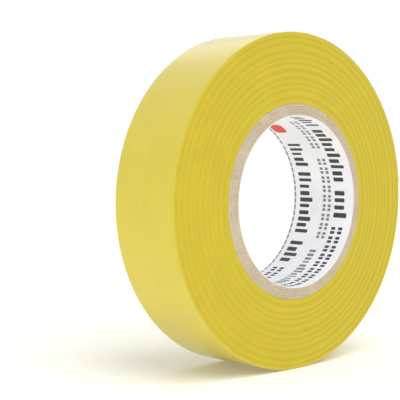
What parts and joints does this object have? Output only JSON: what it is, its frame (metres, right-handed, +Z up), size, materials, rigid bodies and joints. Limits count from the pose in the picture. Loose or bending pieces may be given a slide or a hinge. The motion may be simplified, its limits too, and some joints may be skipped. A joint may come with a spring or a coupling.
{
  "type": "electrical tape roll",
  "caption": "Roll of yellow vinyl insulating tape on a spiral-wound board core with a paper-lined through bore; its free end is jointed so that it peels off the roll.",
  "frame": {"origin": "on the axis of the core's bore, midway between the two side faces of the tape", "axes": "+Y along the bore's axis, +Z up, so the roll stands on its rim; +X to the right seen from -Y, the side from which the tape runs clockwise as it climbs outwards"},
  "size_m": [0.0748, 0.0185, 0.0748],
  "materials": {
    "vinyl_film": "satin",
    "wound_vinyl": "satin",
    "adhesive": "matte",
    "core_board": "matte",
    "core_paper": "matte",
    "liner_paper": "satin"
  },
  "bodies": {
    "roll": {"print_liner": "liner_paper", "core_ply_1": "core_board", "core_ply_2": "core_board", "core_ply_3": "core_board", "core_ply_4": "core_board", "core_wrap": "core_paper", "wound_tape": "wound_vinyl", "tape_adhesive_outer": "adhesive", "tape_film_outer": "vinyl_film"},
    "tail_1": {"tail_film_1": "vinyl_film", "tail_adhesive_1": "adhesive"},
    "tail_2": {"tail_film_2": "vinyl_film", "tail_adhesive_2": "adhesive"},
    "tail_3": {"tail_film_3": "vinyl_film", "tail_adhesive_3": "adhesive"},
    "tail_4": {"tail_film_4": "vinyl_film", "tail_adhesive_4": "adhesive"},
    "tail_5": {"tail_film_5": "vinyl_film", "tail_adhesive_5": "adhesive"},
    "tail_6": {"tail_film_6": "vinyl_film", "tail_adhesive_6": "adhesive"}
  },
  "joints": [
    {"name": "tail_peel", "type": "hinge", "parent": "roll", "child": "tail_1", "pos_m": [0.00655, 0, 0.03693], "axis": [0, -1, 0], "range_deg": [0, 90]},
    {"name": "tail_bend_2", "type": "hinge", "parent": "tail_1", "child": "tail_2", "pos_m": [0.01439, 0, 0.03464], "axis": [0, -1, 0], "range_deg": [0, 12.5]},
    {"name": "tail_bend_3", "type": "hinge", "parent": "tail_2", "child": "tail_3", "pos_m": [0.02154, 0, 0.03072], "axis": [0, -1, 0], "range_deg": [0, 12.5]},
    {"name": "tail_bend_4", "type": "hinge", "parent": "tail_3", "child": "tail_4", "pos_m": [0.02768, 0, 0.02533], "axis": [0, -1, 0], "range_deg": [0, 12.5]},
    {"name": "tail_bend_5", "type": "hinge", "parent": "tail_4", "child": "tail_5", "pos_m": [0.03251, 0, 0.01875], "axis": [0, -1, 0], "range_deg": [0, 12.5]},
    {"name": "tail_bend_6", "type": "hinge", "parent": "tail_5", "child": "tail_6", "pos_m": [0.0358, 0, 0.01128], "axis": [0, -1, 0], "range_deg": [0, 12.5]}
  ],
  "couplings": [
    {"joint": "tail_bend_2", "follows": "tail_peel", "ratio": 0.1388},
    {"joint": "tail_bend_3", "follows": "tail_peel", "ratio": 0.1388},
    {"joint": "tail_bend_4", "follows": "tail_peel", "ratio": 0.1388},
    {"joint": "tail_bend_5", "follows": "tail_peel", "ratio": 0.1388},
    {"joint": "tail_bend_6", "follows": "tail_peel", "ratio": 0.1388}
  ]
}
